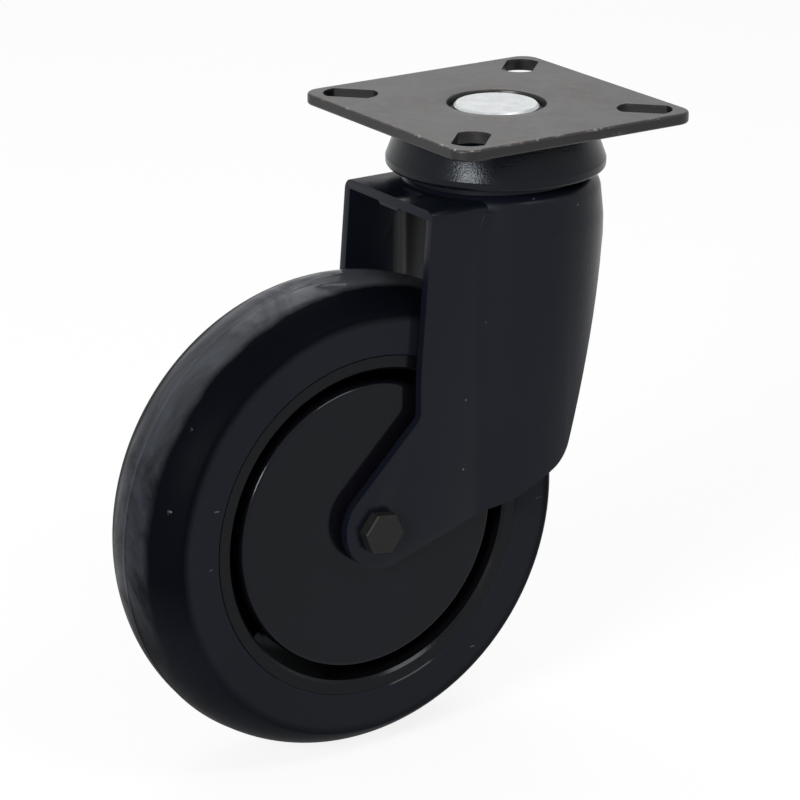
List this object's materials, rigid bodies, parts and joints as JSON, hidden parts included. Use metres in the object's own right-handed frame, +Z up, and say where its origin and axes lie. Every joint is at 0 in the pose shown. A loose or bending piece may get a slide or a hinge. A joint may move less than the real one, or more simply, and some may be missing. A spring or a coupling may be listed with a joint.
{
  "type": "swivel castor",
  "caption": "Swivel plate castor: square plate with corner slots, stamped fork on a ball race, and a solid-tyred wheel with round side covers.",
  "frame": {"origin": "centre of the top plate's upper face, on the swivel axis", "axes": "+Z up along the swivel axis out of the plate; the wheel trails towards -X; the wheel's axle lies along Y, with the bolt's head at -Y"},
  "size_m": [0.1474, 0.0722, 0.1627],
  "materials": {
    "plate_paint": "satin black paint over steel",
    "cup_paint": "satin black powder coat",
    "fork_paint": "satin blue-black powder coat",
    "zinc_steel": "bright zinc plate",
    "bearing_steel": "ground steel",
    "dark_steel": "black oxide",
    "nylon": "translucent nylon",
    "guard_plastic": "satin-gloss black plastic",
    "core_plastic": "satin black plastic",
    "tyre_rubber": "glossy blue-black elastomer"
  },
  "bodies": {
    "mounting": {"top_plate": "plate_paint", "upper_race_cup": "cup_paint", "king_pin": "zinc_steel", "upper_balls": "bearing_steel", "lower_balls": "bearing_steel", "lower_race_cup": "cup_paint"},
    "swivel_fork": {"fork": "fork_paint", "axle_bolt": "dark_steel", "axle_nut": "dark_steel", "nut_insert": "nylon", "spacer_tube": "zinc_steel", "thread_guard_near": "guard_plastic", "thread_guard_far": "guard_plastic", "bearing_inner_race_near": "bearing_steel", "bearing_inner_race_far": "bearing_steel"},
    "wheel": {"wheel_core": "core_plastic", "tyre": "tyre_rubber", "bearing_outer_race_near": "bearing_steel", "bearing_outer_race_far": "bearing_steel", "bearing_balls_near": "bearing_steel", "bearing_balls_far": "bearing_steel", "bearing_shields_near": "bearing_steel", "bearing_shields_far": "bearing_steel"}
  },
  "joints": [
    {"name": "swivel", "type": "hinge", "parent": "mounting", "child": "swivel_fork", "pos_m": [0, 0, 0], "axis": [0, 0, 1], "continuous": true},
    {"name": "wheel_spin", "type": "hinge", "parent": "swivel_fork", "child": "wheel", "pos_m": [-0.0488, 0, -0.1002], "axis": [0, 1, 0], "continuous": true}
  ]
}
